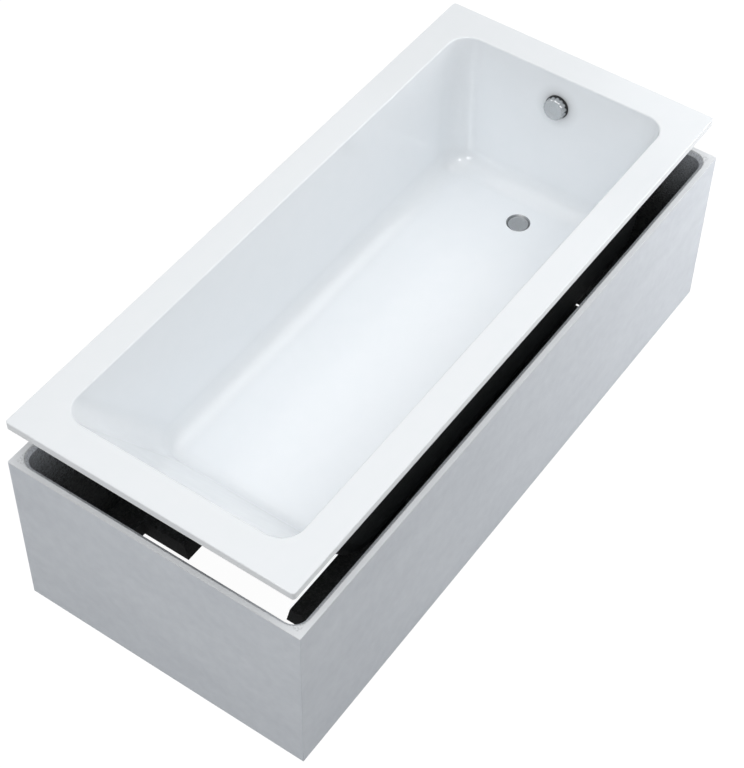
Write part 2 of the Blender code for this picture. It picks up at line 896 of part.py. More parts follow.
def make_waste_body(waste, flange_high):
    """The chamber under the floor, with its dip tube, the hose inlet and the cable gland."""
    flange_low = flange_high - body_flange_thickness
    floor_low = -body_floor_depth - body_floor_thickness
    outline = [
        (0, flange_high),
        (waste_gasket_radius, flange_high),
        (waste_gasket_radius, flange_low),
        (body_radius, flange_low),
        (body_radius, -body_floor_depth),
        (cup_radius, -body_floor_depth),
        (cup_radius, floor_low),
        (dip_radius, floor_low),
        (dip_radius, -dip_depth),
        (0, -dip_depth),
    ]
    body = place(turned("drain_body", outline, black_plastic()), waste)
    outline = [
        (0, cut_overrun),
        (body_bore_radius, cut_overrun),
        (body_bore_radius, -body_floor_depth),
        (dip_bore_radius, -body_floor_depth),
        (dip_bore_radius, -dip_depth - cut_overrun),
        (0, -dip_depth - cut_overrun),
    ]
    chamber = turned("tool_waste_chamber", outline)
    base = (0, 0, -inlet_depth)
    inlet = branch("waste_inlet", waste, (1, 0, 0), base, inlet_reach, *hose_bores)
    gland = branch("waste_gland", waste, (0, 1, 0), base, cable_gland_reach, *gland_bores)
    hollow(body, (inlet, gland), place(chamber, waste))
    reach = lever_pin_half_length + cut_overrun
    pin_hole = rod(
        "tool_pin_hole",
        lever_pin_radius + seat_gap,
        (-reach, lever_reach, -lever_pivot_depth),
        (reach, lever_reach, -lever_pivot_depth),
        steps=16,
    )
    cut(body, place(pin_hole, waste))


def make_plug(waste):
    """The plug cap, its seal and its stem, which rise together."""
    cap_radius = waste_seat_radius - plug_edge_gap
    cap_high = -plug_sink
    cap_low = cap_high - plug_thickness
    outline = [
        (0, cap_low),
        (cap_radius, cap_low),
        (cap_radius, cap_high - plug_gap),
        (cap_radius - plug_gap, cap_high),
        (0, cap_high),
    ]
    place(turned("plug_cap", outline, satin_metal(), 48), waste)
    seal_high = cap_low - seat_gap
    seal_low = seal_high - plug_seal_thickness
    seal_radius = cap_radius - plug_seal_inset
    seal = ring("plug_seal", stem_radius + seat_gap, seal_radius, seal_low, seal_high, black_rubber())
    place(seal, waste)
    tip_top = -lever_pivot_depth - lever_reach * sin(lever_swing) + lever_tip_radius
    stem_ends = (0, 0, tip_top + seat_gap), (0, 0, cap_low - seat_gap)
    place(rod("plug_stem", stem_radius, *stem_ends, satin_metal()), waste)


def make_lever(waste):
    """The lever that lifts the stem, and the pin that it turns on. Its origin is on the pin."""
    turn = (lever_swing, 0, 0)
    pivot = (0, lever_reach, -lever_pivot_depth)
    half = lever_width / 2
    lever = rod("lift_lever", lever_hub_radius, (-half, 0, 0), (half, 0, 0), satin_metal(), 16)
    place(lever, waste, pivot, turn)
    low = (-half, -lever_reach, -lever_arm_height / 2)
    high = (half, 0, lever_arm_height / 2)
    arm = block("tool_lever_arm", low, high)
    tip = rod("tool_lever_tip", lever_tip_radius, (-half, -lever_reach, 0), (half, -lever_reach, 0), steps=16)
    horn_low = (-half / 2, -lever_arm_height / 2, 0)
    horn = block("tool_lever_horn", horn_low, (half / 2, lever_arm_height / 2, lever_horn_height))
    for piece in (arm, tip, horn):
        join(lever, place(piece, waste, pivot, turn))
    reach = half + cut_overrun
    bore = rod("tool_lever_bore", lever_pin_radius + seat_gap, (-reach, 0, 0), (reach, 0, 0), steps=16)
    cut(lever, place(bore, waste, pivot, turn))
    ends = (-lever_pin_half_length, 0, 0), (lever_pin_half_length, 0, 0)
    place(rod("lever_pin", lever_pin_radius, *ends, satin_metal(), 16), waste, pivot)


def make_trap(waste):
    """The cup under the waste body, its ring nut, and the outlet with the elbow that swivels."""
    cup_high = -body_floor_depth - body_floor_thickness - seat_gap
    outline = [
        (0, -cup_depth),
        (cup_radius, -cup_depth),
        (cup_radius, cup_high),
        (cup_radius - cup_wall, cup_high),
        (cup_radius - cup_wall, cup_wall - cup_depth),
        (0, cup_wall - cup_depth),
    ]
    cup = place(turned("trap_cup", outline, white_plastic(), 40), waste)
    end = (-outlet_reach, 0, -outlet_depth)
    outer = rod("tool_outlet", outlet_radius, (cup_wall / 2 - cup_radius, 0, -outlet_depth), end)
    join(cup, place(outer, waste))
    beyond = (-outlet_reach - cut_overrun, 0, -outlet_depth)
    inner = rod("tool_outlet_bore", outlet_bore_radius, (-cup_radius / 2, 0, -outlet_depth), beyond)
    cut(cup, place(inner, waste))

    nut_inner = cup_radius + seat_gap
    nut_outer = nut_inner + ring_nut_wall
    lip_low = seat_gap - body_floor_depth
    outline = [
        (nut_inner, -ring_nut_bottom_depth),
        (nut_outer, -ring_nut_bottom_depth),
        (nut_outer, lip_low + ring_nut_lip),
        (body_radius + seat_gap, lip_low + ring_nut_lip),
        (body_radius + seat_gap, lip_low),
        (nut_inner, lip_low),
    ]
    place(turned("trap_ring_nut", outline, white_plastic(), 40), waste)

    sideways = (0, -pi / 2, 0)
    axis = (0, 0, -outlet_depth)
    seal_start = outlet_reach + seat_gap
    seal_end = seal_start + outlet_seal_thickness
    seal = ring("outlet_seal", outlet_bore_radius, outlet_radius, seal_start, seal_end, black_rubber(), 24)
    place(seal, waste, axis, sideways)
    nut_start = (seal_start + seal_end - outlet_nut_length) / 2
    nut = ring(
        "outlet_nut",
        outlet_radius + seat_gap,
        outlet_nut_radius,
        nut_start,
        nut_start + outlet_nut_length,
        white_plastic(),
        24,
    )
    place(nut, waste, axis, sideways)
    make_elbow(waste, axis, seal_end + seat_gap)


def make_elbow(waste, axis, start):
    """The elbow after the nut. Its origin is on the axis that it swivels about."""
    corner = start + elbow_straight
    path = [Vector((-start, 0, 0))]
    for step in range(elbow_bend_steps + 1):
        turn = pi / 2 * step / elbow_bend_steps
        path.append(Vector((-corner - elbow_bend * sin(turn), 0, -elbow_bend * (1 - cos(turn)))))
    path.append(path[-1] - Vector((0, 0, elbow_leg)))
    over = [Vector((cut_overrun, 0, 0)), Vector((0, 0, -cut_overrun))]
    bore_path = [path[0] + over[0]] + path[1:-1] + [path[-1] + over[1]]
    elbow = swept("outlet_elbow", path, [outlet_radius] * len(path), white_plastic(), 4)
    place(elbow, waste, axis)
    bore = swept("tool_elbow_bore", bore_path, [outlet_bore_radius] * len(path), None, 4)
    cut(elbow, place(bore, waste, axis))


def make_hose(overflow_matrix):
    """The ribbed overflow hose from one spigot to the other, and its two nuts."""
    top = overflow_matrix @ Vector((-overflow_spigot_reach - seat_gap, 0, -overflow_spigot_depth))
    down = (overflow_matrix.to_3x3() @ Vector((-1, 0, 0))).normalized()
    level = basin_floor - inlet_depth
    end = Vector((waste_x + inlet_reach + seat_gap, bath_set_y, level))
    upper = top + down * hose_end_straight
    turn = Vector((cavity_x - hose_foot_gap, bath_set_y, hose_turn_height))
    lower = end + Vector((hose_end_straight, 0, 0))
    first = geometry.interpolate_bezier(
        upper, upper + down * hose_top_pull / 2, turn + Vector((0, 0, hose_turn_pull)), turn, 40
    )
    second = geometry.interpolate_bezier(
        turn, turn - Vector((0, 0, hose_turn_pull)), lower + Vector((hose_bend_pull, 0, 0)), lower, 40
    )
    route = [top] + first + second[1:] + [end]
    length = sum((far - near).length for near, far in zip(route, route[1:]))
    count = 2 * round(length / hose_rib_pitch) + 1
    points = evenly_spaced(route, count)
    radii = [hose_radius - hose_rib_depth * (index % 2) for index in range(count)]
    hose = swept("overflow_hose", points, radii, grey_plastic(), 2)
    bore_count = count // 3
    bore_points = evenly_spaced(route, bore_count)
    bore_points[0] = bore_points[0] - down * cut_overrun
    bore_points[-1] = bore_points[-1] - Vector((cut_overrun, 0, 0))
    cut(hose, swept("tool_hose_bore", bore_points, [hose_bore] * bore_count, None, 2))

    inner = hose_radius + seat_gap
    half = hose_nut_length / 2
    upper_nut = ring("hose_nut_upper", inner, hose_nut_radius, -half, half, black_plastic(), 24)
    upper_nut.location = top
    upper_nut.rotation_euler = down.to_track_quat("Z", "Y").to_euler()
    lower_nut = ring("hose_nut_lower", inner, hose_nut_radius, -half, half, black_plastic(), 24)
    lower_nut.location = end
    lower_nut.rotation_euler = (0, pi / 2, 0)


def make_cable(overflow_matrix):
    """The sleeve of the pull cable, from the overflow body to the waste body."""
    sideways = Vector((-cos(cable_exit_turn), sin(cable_exit_turn), 0))
    gland_end = sideways * (cable_gland_reach + seat_gap) - Vector((0, 0, overflow_spigot_depth))
    top = overflow_matrix @ gland_end
    down = (overflow_matrix.to_3x3() @ sideways).normalized()
    level = basin_floor - inlet_depth
    end = Vector((waste_x, bath_set_y + cable_gland_reach + seat_gap, level))
    turn = Vector((cavity_x - hose_foot_gap, bath_set_y + cable_swing, cable_turn_height))
    pull = Vector((0, 0, hose_turn_pull))
    upper = top + down * cable_end_straight
    lower = end + Vector((0, cable_end_straight, 0))
    first = geometry.interpolate_bezier(upper, upper + down * hose_top_pull / 2, turn + pull, turn, 30)
    second = geometry.interpolate_bezier(turn, turn - pull, lower + Vector((0, hose_turn_pull, 0)), lower, 30)
    points = evenly_spaced([top] + first + second[1:] + [end], cable_points)
    swept("cable_sleeve", points, [cable_radius] * cable_points, black_plastic(), 2)


def main():
    remove_all()
    overflow_x = bath_foot - rim_foot - wall_inset(overflow_drop, foot_lean, foot_cove, 0)
    overflow_place = (overflow_x, bath_set_y, rim_top - overflow_drop)
    overflow = axis_empty("overflow_axis", overflow_place, (0, foot_lean - pi / 2, 0))
    waste = axis_empty("waste_axis", (waste_x, bath_set_y, basin_floor))
    bpy.context.view_layer.update()
    overflow_matrix = overflow.matrix_world.copy()
    make_tub_shell(overflow)
    make_backing(overflow)
    board = make_base_board()
    make_rim_battens()
    make_carrier_walls()
    make_carrier_floor(*board)
    make_overflow(overflow)
    make_waste(waste)
    make_hose(overflow_matrix)
    make_cable(overflow_matrix)


main()
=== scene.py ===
"""A rectangular acrylic bath, raised on its setting blocks in a tile-ready foam carrier."""

from math import acos, asin, cos, degrees, pi, radians, sin, tan

import bmesh
import bpy
from mathutils import Euler, Matrix, Vector


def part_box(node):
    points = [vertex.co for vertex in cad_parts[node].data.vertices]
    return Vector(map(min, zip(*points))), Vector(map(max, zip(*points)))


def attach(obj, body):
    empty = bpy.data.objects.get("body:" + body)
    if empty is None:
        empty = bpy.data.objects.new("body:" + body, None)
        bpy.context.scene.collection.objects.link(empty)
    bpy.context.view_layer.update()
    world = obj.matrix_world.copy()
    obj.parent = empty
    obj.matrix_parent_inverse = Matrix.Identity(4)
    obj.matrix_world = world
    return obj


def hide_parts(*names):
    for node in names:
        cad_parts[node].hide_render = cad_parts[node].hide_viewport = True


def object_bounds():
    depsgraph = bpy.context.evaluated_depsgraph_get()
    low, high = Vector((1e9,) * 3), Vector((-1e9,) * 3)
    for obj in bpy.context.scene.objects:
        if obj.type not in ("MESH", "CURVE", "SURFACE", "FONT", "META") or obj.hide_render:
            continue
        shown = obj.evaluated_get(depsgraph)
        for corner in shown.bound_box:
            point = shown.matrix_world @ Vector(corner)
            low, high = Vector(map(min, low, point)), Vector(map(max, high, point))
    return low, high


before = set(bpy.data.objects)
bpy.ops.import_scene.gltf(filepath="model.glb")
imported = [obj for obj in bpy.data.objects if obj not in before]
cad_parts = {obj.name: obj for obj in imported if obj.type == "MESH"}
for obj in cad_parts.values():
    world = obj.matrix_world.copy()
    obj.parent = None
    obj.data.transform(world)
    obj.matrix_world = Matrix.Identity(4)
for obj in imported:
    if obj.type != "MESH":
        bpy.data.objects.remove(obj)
cad_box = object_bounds()
millimetre = 0.001


# Carrier walls. Four walls of rigid bead foam in one moulding, trowelled outside and over the top
# edge with a thin mineral coat that tile adhesive grips. The coat leaves off on the inner chamfer,
# so below it the graphite-filled foam shows, in speckles that spread further down as painted shade
# of the carrier's inside. The flat top is painted a little lighter, as painted light.

def linear(code):
    """The linear colour of an sRGB hex code."""
    channels = [int(code[place:place + 2], 16) / 255 for place in (1, 3, 5)]
    light = [value / 12.92 if value <= 0.04045 else ((value + 0.055) / 1.055) ** 2.4 for value in channels]
    return (*light, 1)


def add_node(tree, kind, settings=(), links=()):
    """Adds one node. Settings name its properties or number its inputs, links join its inputs to sockets."""
    node = tree.nodes.new(kind)
    for name, value in dict(settings).items():
        if isinstance(name, int) or name in node.inputs:
            node.inputs[name].default_value = value
        else:
            setattr(node, name, value)
    for name, socket in dict(links).items():
        tree.links.new(socket, node.inputs[name])
    return node


def new_finish(name, roughness, metallic=0):
    """A material with its node tree and its shader, on the object's own coordinates."""
    material = bpy.data.materials.new(name)
    material.use_nodes = True
    tree = material.node_tree
    shader = tree.nodes["Principled BSDF"]
    shader.inputs["Roughness"].default_value = roughness
    shader.inputs["Metallic"].default_value = metallic
    place = add_node(tree, "ShaderNodeTexCoord").outputs["Object"]
    return material, tree, shader, place


def dress(material, *names):
    """Gives CAD nodes their material."""
    for name in names:
        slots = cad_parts[name].data.materials
        slots.clear()
        slots.append(material)


coat_pale = "#f3f8fe"
coat_grey = "#e7ecf3"
coat_painted_top_light = "#f8fbfe"
coat_grain_size = 1.6 * millimetre
coat_grain_depth = 0.4 * millimetre
coat_smear_size = 90 * millimetre
coat_cloud_size = 26 * millimetre
coat_speckle_size = 4 * millimetre
coat_fade_and_shade_height = 230 * millimetre
painted_top_light_height = 4 * millimetre
coat_worn_edge = 1.5 * millimetre
bead_size = 5 * millimetre
bead_depth = 0.6 * millimetre
bead_dark = "#48494b"
bead_light = "#6b6d6f"
wall_outer_x, wall_outer_y, wall_top = cad_box[1].x, cad_box[1].y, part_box("carrier_walls")[1].z
wall_top_flat = 12 * millimetre

# The coat is matt and pale, with a fine grain and with faint clouds where the trowel dragged it.
render_coat, tree, shader, place = new_finish("mineral_render_on_bead_foam", 0.86)
cloud = add_node(
    tree, "ShaderNodeTexNoise",
    {"Scale": 1 / coat_cloud_size, "Detail": 4, "Roughness": 0.55}, {"Vector": place},
)
stretched = add_node(
    tree, "ShaderNodeMapping", {"Scale": (0.35, 0.35, 1)}, {"Vector": place},
).outputs["Vector"]
smear = add_node(
    tree, "ShaderNodeTexNoise",
    {"Scale": 1 / coat_smear_size, "Detail": 3, "Roughness": 0.5}, {"Vector": stretched},
)
mottle = add_node(
    tree, "ShaderNodeMix", {"data_type": "FLOAT", "Factor": 0.5},
    {2: cloud.outputs["Fac"], 3: smear.outputs["Fac"]},
)
mottle_share = add_node(
    tree, "ShaderNodeMapRange", {"From Min": 0.3, "From Max": 0.7}, {"Value": mottle.outputs[0]},
)
coat_colour = add_node(
    tree, "ShaderNodeMix", {"data_type": "RGBA", 6: linear(coat_grey), 7: linear(coat_pale)},
    {"Factor": mottle_share.outputs[0]},
)
axes = add_node(tree, "ShaderNodeSeparateXYZ", (), {"Vector": place})
# The flat top and the top few millimetres of the walls are painted lighter: painted light on the top.
painted_top_light_share = add_node(
    tree, "ShaderNodeMapRange",
    {"From Min": wall_top - painted_top_light_height, "From Max": wall_top - painted_top_light_height / 4},
    {"Value": axes.outputs["Z"]},
)
coat_colour = add_node(
    tree, "ShaderNodeMix", {"data_type": "RGBA", 7: linear(coat_painted_top_light)},
    {"Factor": painted_top_light_share.outputs[0], 6: coat_colour.outputs[2]},
)
beads = add_node(
    tree, "ShaderNodeTexVoronoi", {"feature": "F1", "Scale": 1 / bead_size}, {"Vector": place},
)
bead_tone = add_node(tree, "ShaderNodeSeparateColor", (), {"Color": beads.outputs["Color"]})
bead_colour = add_node(
    tree, "ShaderNodeMix", {"data_type": "RGBA", 6: linear(bead_dark), 7: linear(bead_light)},
    {"Factor": bead_tone.outputs[0]},
)
from_end = add_node(tree, "ShaderNodeMath", {"operation": "ABSOLUTE"}, {0: axes.outputs["X"]})
from_end = add_node(
    tree, "ShaderNodeMath", {"operation": "SUBTRACT", 0: wall_outer_x}, {1: from_end.outputs[0]},
)
from_side = add_node(tree, "ShaderNodeMath", {"operation": "ABSOLUTE"}, {0: axes.outputs["Y"]})
from_side = add_node(
    tree, "ShaderNodeMath", {"operation": "SUBTRACT", 0: wall_outer_y}, {1: from_side.outputs[0]},
)
inward = add_node(
    tree, "ShaderNodeMath", {"operation": "MINIMUM"}, {0: from_end.outputs[0], 1: from_side.outputs[0]},
)
inside = add_node(
    tree, "ShaderNodeMapRange",
    {"From Min": wall_top_flat, "From Max": wall_top_flat + coat_worn_edge}, {"Value": inward.outputs[0]},
)
speckle = add_node(
    tree, "ShaderNodeTexNoise", {"Scale": 1 / coat_speckle_size, "Detail": 3}, {"Vector": place},
)
# Inside the carrier the coat gives way to bare foam in speckles, more and more towards the bottom: patchy
# coat, and painted shade of the carrier's inside.
thinning_and_shade = add_node(
    tree, "ShaderNodeMapRange",
    {"From Min": wall_top, "From Max": wall_top - coat_fade_and_shade_height, "To Min": -0.55, "To Max": 0.5},
    {"Value": axes.outputs["Z"]},
)
worn_and_shaded = add_node(
    tree, "ShaderNodeMath", {"operation": "MULTIPLY_ADD", "use_clamp": True, 1: 1.3},
    {0: speckle.outputs["Fac"], 2: thinning_and_shade.outputs[0]},
)
bare_and_shaded = add_node(
    tree, "ShaderNodeMath", {"operation": "MULTIPLY"}, {0: inside.outputs[0], 1: worn_and_shaded.outputs[0]},
)
wall_colour = add_node(
    tree, "ShaderNodeMix", {"data_type": "RGBA"},
    {"Factor": bare_and_shaded.outputs[0], 6: coat_colour.outputs[2], 7: bead_colour.outputs[2]},
)
grain = add_node(
    tree, "ShaderNodeTexNoise", {"Scale": 1 / coat_grain_size, "Detail": 2}, {"Vector": place},
)
grain_bump = add_node(
    tree, "ShaderNodeBump", {"Strength": 0.35, "Distance": coat_grain_depth},
    {"Height": grain.outputs["Fac"]},
)
bead_bump = add_node(
    tree, "ShaderNodeBump", {"Strength": 0.25, "Distance": bead_depth, "invert": True},
    {"Height": beads.outputs["Distance"], "Normal": grain_bump.outputs["Normal"]},
)
tree.links.new(wall_colour.outputs[2], shader.inputs["Base Color"])
tree.links.new(bead_bump.outputs["Normal"], shader.inputs["Normal"])
dress(render_coat, "carrier_walls")


# Carrier floor and setting blocks. Boards of graphite-filled expanded polystyrene: grey beads of about
# five millimetres pressed into cells, porous, so that they hardly shine. Their faces that don't look
# up are painted darker, a painted shade.

foam_dark = "#535556"
foam_light = "#6a6c6e"
foam_seam_depth = 0.5 * millimetre
seam_width_share = 0.08
seam_tone = 0.55
painted_side_shade_tone = 0.32

foam, tree, shader, place = new_finish("graphite_expanded_polystyrene", 0.8)
beads = add_node(
    tree, "ShaderNodeTexVoronoi", {"feature": "F1", "Scale": 1 / bead_size}, {"Vector": place},
)
seams = add_node(
    tree, "ShaderNodeTexVoronoi", {"feature": "DISTANCE_TO_EDGE", "Scale": 1 / bead_size}, {"Vector": place},
)
bead_tone = add_node(tree, "ShaderNodeSeparateColor", (), {"Color": beads.outputs["Color"]})
bead_colour = add_node(
    tree, "ShaderNodeMix", {"data_type": "RGBA", 6: linear(foam_dark), 7: linear(foam_light)},
    {"Factor": bead_tone.outputs[0]},
)
seam_share = add_node(
    tree, "ShaderNodeMapRange", {"From Min": 0, "From Max": seam_width_share, "To Min": seam_tone},
    {"Value": seams.outputs["Distance"]},
)
foam_colour = add_node(
    tree, "ShaderNodeMix", {"data_type": "RGBA", "blend_type": "MULTIPLY", "Factor": 1},
    {6: bead_colour.outputs[2], 7: seam_share.outputs[0]},
)
# Faces that don't look up are painted darker than the tops: painted shade.
facing = add_node(tree, "ShaderNodeTexCoord").outputs["Normal"]
upward = add_node(tree, "ShaderNodeSeparateXYZ", (), {"Vector": facing})
painted_side_shade = add_node(
    tree, "ShaderNodeMapRange", {"From Min": 0.5, "From Max": 0.9, "To Min": painted_side_shade_tone},
    {"Value": upward.outputs["Z"]},
)
foam_colour = add_node(
    tree, "ShaderNodeMix", {"data_type": "RGBA", "blend_type": "MULTIPLY", "Factor": 1},
    {6: foam_colour.outputs[2], 7: painted_side_shade.outputs[0]},
)
bead_bump = add_node(
    tree, "ShaderNodeBump", {"Strength": 0.5, "Distance": foam_seam_depth},
    {"Height": seam_share.outputs[0]},
)
shader.inputs["Specular IOR Level"].default_value = 0.15
tree.links.new(foam_colour.outputs[2], shader.inputs["Base Color"])
tree.links.new(bead_bump.outputs["Normal"], shader.inputs["Normal"])
dress(foam, "floor_slab_left", "floor_slab_right", "floor_centre_board", "floor_foot_slab")
dress(foam, "setting_block_head", "setting_block_foot")


# Bath shell. One cast acrylic sheet, five millimetres thick, drawn hot over a mould, so every edge
# runs over in a small round: the skirt, the rim, and the basin's leaning walls, whose feet run into
# the floor in deep coves. The seat of the waste and the overflow hole are cut afterwards.

sheet_thickness = 5 * millimetre
skirt_drop = 20 * millimetre
rim_edge_round = 2.5 * millimetre
rim_corner_round = 8 * millimetre
rim_width_side = 75 * millimetre
rim_width_end = 83 * millimetre
basin_depth = 377 * millimetre
opening_roll = 4 * millimetre
least_roll = 0.5 * millimetre
opening_corner = 60 * millimetre
floor_corner = 72 * millimetre
side_lean, side_cove = radians(3.5), 53 * millimetre
foot_lean, foot_cove = radians(7), 60 * millimetre
head_lean, head_cove = radians(35.2), 55 * millimetre
waste_from_foot = 242 * millimetre
waste_hole = 28.5 * millimetre
waste_seat = 31.1 * millimetre
waste_seat_depth = 2.3 * millimetre
overflow_drop = 88 * millimetre
overflow_hole = 26 * millimetre
cutter_reach = 30 * millimetre
shading_band = 1 * millimetre
edge_angle = radians(30)
bath_head, bath_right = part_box("tub_shell")[0].x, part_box("tub_shell")[0].y
bath_foot, bath_left, rim_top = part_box("tub_shell")[1]
bath_centre = (bath_left + bath_right) / 2
basin_floor = rim_top - basin_depth


def rounded_outline(head, foot, half_width, radius, height):
    """A level loop round the bath's middle line: four arcs, and runs with points close to the arcs."""
    arc_steps = 18
    run_shares = (0.01, 0.2, 0.4, 0.6, 0.8, 0.99)
    centres = ((foot, 1), (head, 1), (head, -1), (foot, -1))
    points = []
    for quarter, (x, side) in enumerate(centres):
        centre_x = x - radius if x == foot else x + radius
        centre_y = bath_centre + side * (half_width - radius)
        for step in range(arc_steps + 1):
            angle = (quarter + step / arc_steps) * pi / 2
            points.append(Vector((centre_x + radius * cos(angle), centre_y + radius * sin(angle), height)))
        following, next_side = centres[(quarter + 1) % 4]
        next_x = following - radius if following == foot else following + radius
        next_y = bath_centre + next_side * (half_width - radius)
        turn = (quarter + 1) * pi / 2
        run_end = Vector((next_x + radius * cos(turn), next_y + radius * sin(turn), height))
        run_start = points[-1]
        points += [run_start.lerp(run_end, share) for share in run_shares]
    return points


def wall_inset(depth, lean, cove, spread):
    """How far a basin wall stands in from the opening's edge at a depth, moved outward by spread."""
    roll = max(opening_roll - spread, least_roll)
    shift = (opening_roll - spread - roll) * (1 - sin(lean)) / cos(lean)
    cove = cove + spread
    roll_end = roll * (1 - sin(lean))
    cove_start = basin_depth - cove * (1 - sin(lean))
    if depth <= roll_end:
        return shift + roll * sin(acos(max(1 - depth / roll, 0)))
    run = shift + roll * cos(lean) + (min(depth, cove_start) - roll_end) * tan(lean)
    if depth <= cove_start:
        return run
    sink = (depth - basin_depth + cove) / cove
    return run + cove * (cos(lean) - cos(asin(min(sink, 1))))


def basin_loop(depth, spread, extra=0):
    """One level loop of the basin, moved outward by spread. extra draws it in at the same level."""
    head = wall_inset(depth, head_lean, head_cove, spread) + extra
    foot = wall_inset(depth, foot_lean, foot_cove, spread) + extra
    side = wall_inset(depth, side_lean, side_cove, spread)
    cove_start = basin_depth - (side_cove + spread) * (1 - sin(side_lean))
    top_radius = opening_corner - min(side, opening_roll - spread)
    foot_radius = floor_corner + spread
    radius = top_radius + (foot_radius - top_radius) * min(max(depth / cove_start, 0), 1)
    if depth > cove_start:
        radius = foot_radius - (side - wall_inset(cove_start, side_lean, side_cove, spread))
    half_width = (bath_left - bath_right) / 2 - rim_width_side - side - extra
    head_edge, foot_edge = bath_head + rim_width_end + head, bath_foot - rim_width_end - foot
    return rounded_outline(head_edge, foot_edge, half_width, radius - extra, rim_top - spread - depth)


def basin_loops(spread):
    """The basin's loops from the flat of the rim down to the floor, closest where it curves."""
    wall_shares = (0, 0.12, 0.24, 0.36, 0.48, 0.6, 0.72, 0.82)
    # Degrees round the foot wall's cove: every fifth one, and each of the last, which run out in the floor.
    coarse_step, fine_from = 5, 82
    lean_angle = round(degrees(foot_lean))
    roll = max(opening_roll - spread, least_roll)
    depths = [roll * (1 - cos(radians(angle))) for angle in range(0, 90, 12)]
    depths += [roll + shading_band + share * basin_depth for share in wall_shares]
    for lean, cove in ((side_lean, side_cove), (head_lean, head_cove)):
        depths.append(basin_depth - (cove + spread) * (1 - sin(lean)))
    for angle in range(lean_angle, 91):
        if angle == lean_angle or angle % coarse_step == 0 or angle > fine_from:
            depths.append(basin_depth - (foot_cove + spread) * (1 - sin(radians(angle))))
    loops = [basin_loop(0, spread, -shading_band)]
    loops += [basin_loop(depth, spread) for depth in sorted(depths)]
    return loops + [basin_loop(basin_depth, spread, shading_band)]


def rim_loop(inset, height):
    """One level loop of the rim's outer edge."""
    half_width = (bath_left - bath_right) / 2 - inset
    radius = max(rim_corner_round - inset, shading_band)
    return rounded_outline(bath_head + inset, bath_foot - inset, half_width, radius, height)


def skinned(name, loops, sharp=edge_angle):
    """A closed piece through loops of equally many points, smooth between edges sharper than an angle."""
    form = bmesh.new()
    rows = [[form.verts.new(point) for point in loop] for loop in loops]
    for low, high in zip(rows, rows[1:]):
        for index, corner in enumerate(low):
            following = (index + 1) % len(low)
            form.faces.new((corner, low[following], high[following], high[index]))
    form.faces.new(list(reversed(rows[0])))
    form.faces.new(rows[-1])
    bmesh.ops.recalc_face_normals(form, faces=form.faces)
    mesh = bpy.data.meshes.new(name)
    form.to_mesh(mesh)
    form.free()
    mesh.shade_smooth()
    mesh.set_sharp_from_angle(angle=sharp)
    piece = bpy.data.objects.new(name, mesh)
    bpy.context.scene.collection.objects.link(piece)
    return piece


def round_bar(name, radius, low, high, frame_matrix, steps=96):
    """A closed round bar along Z in a frame, from one height to another."""
    circle = []
    for step in range(steps):
        angle = 2 * pi * step / steps
        circle.append((radius * cos(angle), radius * sin(angle)))
    loops = [[frame_matrix @ Vector((x, y, height)) for x, y in circle] for height in (low, high)]
    return skinned(name, loops)


def combine(piece, tool, operation):
    """Applies a Boolean with a tool, which is then removed."""
    step = piece.modifiers.new(tool.name, "BOOLEAN")
    step.operation = operation
    step.solver = "EXACT"
    step.object = tool
    view = bpy.context.evaluated_depsgraph_get()
    mesh = bpy.data.meshes.new_from_object(piece.evaluated_get(view))
    piece.modifiers.clear()
    old_mesh, piece.data = piece.data, mesh
    mesh.name = piece.name
    bpy.data.meshes.remove(old_mesh)
    bpy.data.objects.remove(tool, do_unlink=True)
    mesh.shade_smooth()
    mesh.set_sharp_from_angle(angle=edge_angle)


skirt_bottom = rim_top - skirt_drop
outside = [rim_loop(0, skirt_bottom), rim_loop(0, rim_top - rim_edge_round - shading_band)]
for angle in range(0, 91, 15):
    turn = radians(angle)
    outside.append(rim_loop(rim_edge_round * (1 - cos(turn)), rim_top - rim_edge_round * (1 - sin(turn))))
outside.append(rim_loop(rim_edge_round + shading_band, rim_top))
underside = [rim_loop(sheet_thickness, skirt_bottom), rim_loop(sheet_thickness, rim_top - sheet_thickness)]
loops = list(reversed(outside + basin_loops(0))) + underside + basin_loops(sheet_thickness)
bath_shell = skinned("bath_shell", loops)
waste_frame = Matrix.Translation((bath_foot - waste_from_foot, bath_centre, basin_floor))
overflow_x = bath_foot - rim_width_end - wall_inset(overflow_drop, foot_lean, foot_cove, 0)
overflow_frame = Matrix.Translation((overflow_x, bath_centre, rim_top - overflow_drop))
overflow_frame = overflow_frame @ Matrix.Rotation(foot_lean - pi / 2, 4, "Y")
for name, radius, low, high, holder in (
    ("waste_seat_cutter", waste_seat, -waste_seat_depth, cutter_reach, waste_frame),
    ("waste_hole_cutter", waste_hole, -cutter_reach, cutter_reach, waste_frame),
    ("overflow_hole_cutter", overflow_hole, -cutter_reach, cutter_reach, overflow_frame),
):
    combine(bath_shell, round_bar(name, radius, low, high, holder), "DIFFERENCE")

acrylic_cool = "#f1f5f8"
acrylic_pale = "#f4f7fa"
acrylic_wave_size = 45 * millimetre
acrylic_wave_depth = 0.5 * millimetre
acrylic_ior = 1.49
shade_reach = 35 * millimetre
shade_share = 0.8

# The sheet is a glossy and slightly cool white, with faint long waves from the drawing.
acrylic, tree, shader, place = new_finish("cast_acrylic", 0.12)
wave = add_node(
    tree, "ShaderNodeTexNoise", {"Scale": 1 / acrylic_wave_size, "Detail": 2}, {"Vector": place},
)
acrylic_colour = add_node(
    tree, "ShaderNodeMix", {"data_type": "RGBA", 6: linear(acrylic_cool), 7: linear(acrylic_pale)},
    {"Factor": wave.outputs["Fac"]},
)
